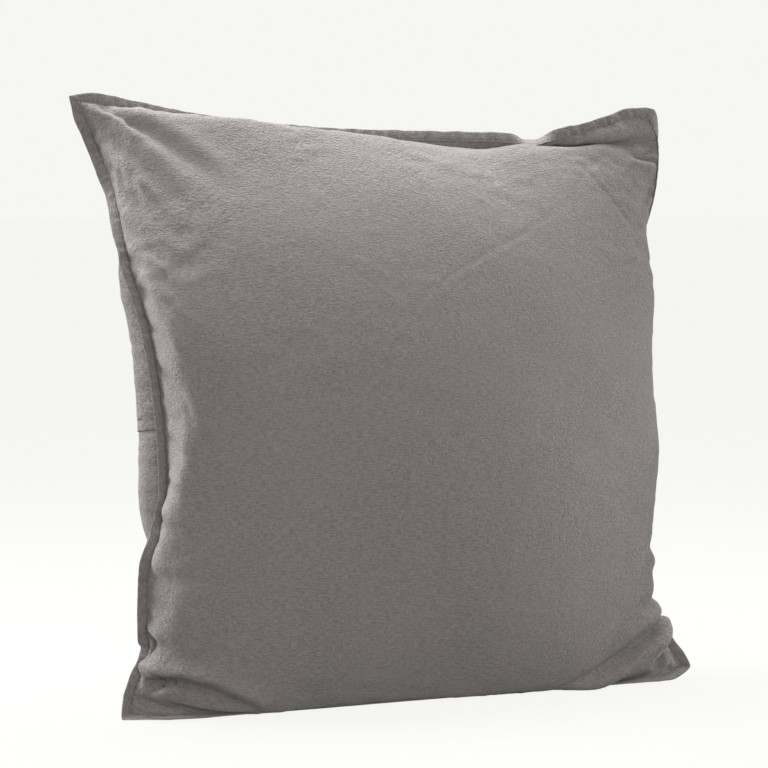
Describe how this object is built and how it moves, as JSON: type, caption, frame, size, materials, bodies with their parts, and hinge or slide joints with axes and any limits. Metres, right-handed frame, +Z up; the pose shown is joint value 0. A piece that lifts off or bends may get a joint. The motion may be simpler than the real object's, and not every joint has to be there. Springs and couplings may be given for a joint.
{
  "type": "bed pillow",
  "caption": "Square bed pillow: a filled insert in a washed-cotton cover with a narrow flange and an envelope closure, standing on its lower edge.",
  "frame": {"origin": "on the surface the pillow stands on, in the middle of the pillow's box", "axes": "+X across the width, to the right seen from the front; +Y towards the back, so the front faces -Y; +Z up"},
  "size_m": [0.6206, 0.24, 0.5851],
  "materials": {
    "cover_cloth": "garment-washed plain-weave cotton, matte, finely creased",
    "flange_cloth": "the same cotton doubled and puckered by its stitching",
    "sewing_thread": "matte sewing thread",
    "insert_ticking": "close-woven white cotton",
    "insert_filling": "loose soft fibre"
  },
  "bodies": {
    "root": {"cover_front_panel": "cover_cloth", "cover_back_upper_panel": "cover_cloth", "cover_back_lower_panel": "cover_cloth", "flange_band": "flange_cloth", "flange_topstitch": "sewing_thread", "flange_topstitch_under": "sewing_thread", "upper_hem_stitch": "sewing_thread", "lower_hem_stitch": "sewing_thread", "closure_bar_tack_left": "sewing_thread", "closure_bar_tack_right": "sewing_thread", "insert_front_ticking": "insert_ticking", "insert_back_ticking": "insert_ticking", "insert_filling": "insert_filling"}
  },
  "joints": []
}
